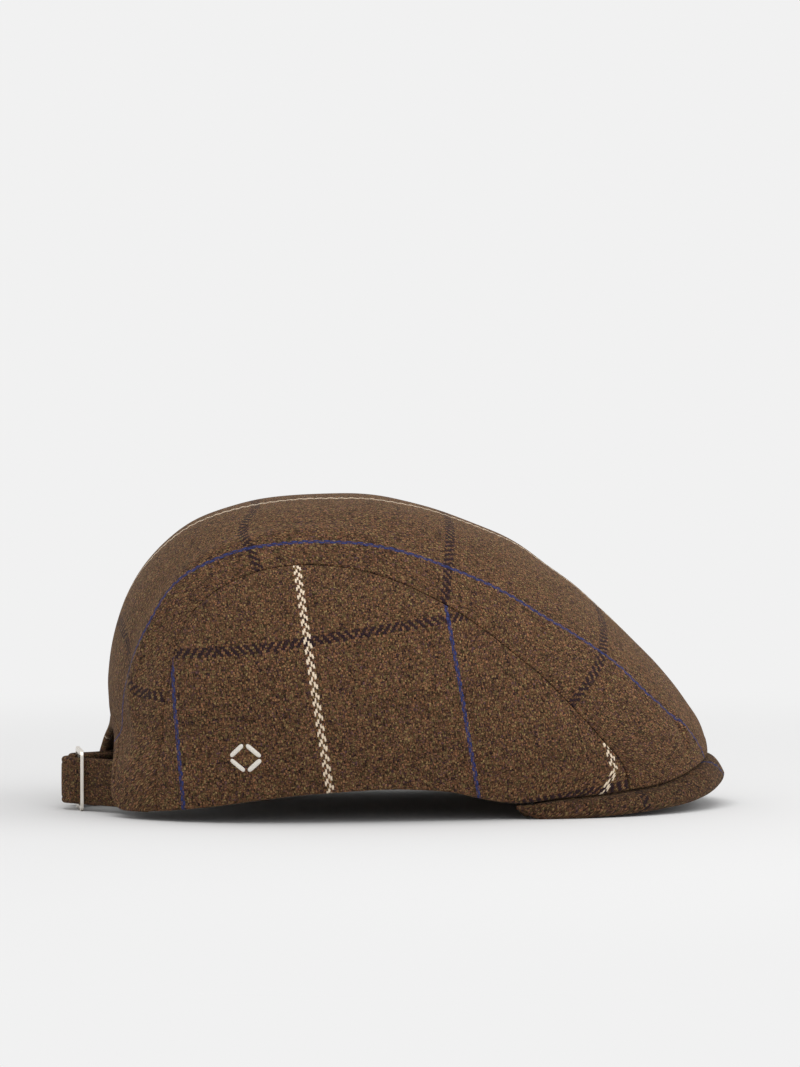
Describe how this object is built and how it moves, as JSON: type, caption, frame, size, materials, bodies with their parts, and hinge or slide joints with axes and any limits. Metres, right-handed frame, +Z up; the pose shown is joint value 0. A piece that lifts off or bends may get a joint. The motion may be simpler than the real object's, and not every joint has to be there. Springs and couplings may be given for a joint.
{
  "type": "flat cap",
  "caption": "Tweed flat cap: long top panel between two side panels, short stiff peak, arched back opening with strap and slider buckle.",
  "frame": {"origin": "middle of the outline in plan, on the surface that the cap rests on", "axes": "+X to the front of the peak, +Y to the wearer's left, +Z up"},
  "size_m": [0.2863, 0.182, 0.1341],
  "materials": {
    "tweed": "woolly twill",
    "strap_tweed": "woolly twill",
    "buckle_metal": "satin"
  },
  "bodies": {
    "root": {"top_panel": "tweed", "side_panel_right": "tweed", "side_panel_left": "tweed", "peak": "tweed", "strap_tail": "strap_tweed", "strap_loop": "strap_tweed", "buckle": "buckle_metal"}
  },
  "joints": []
}
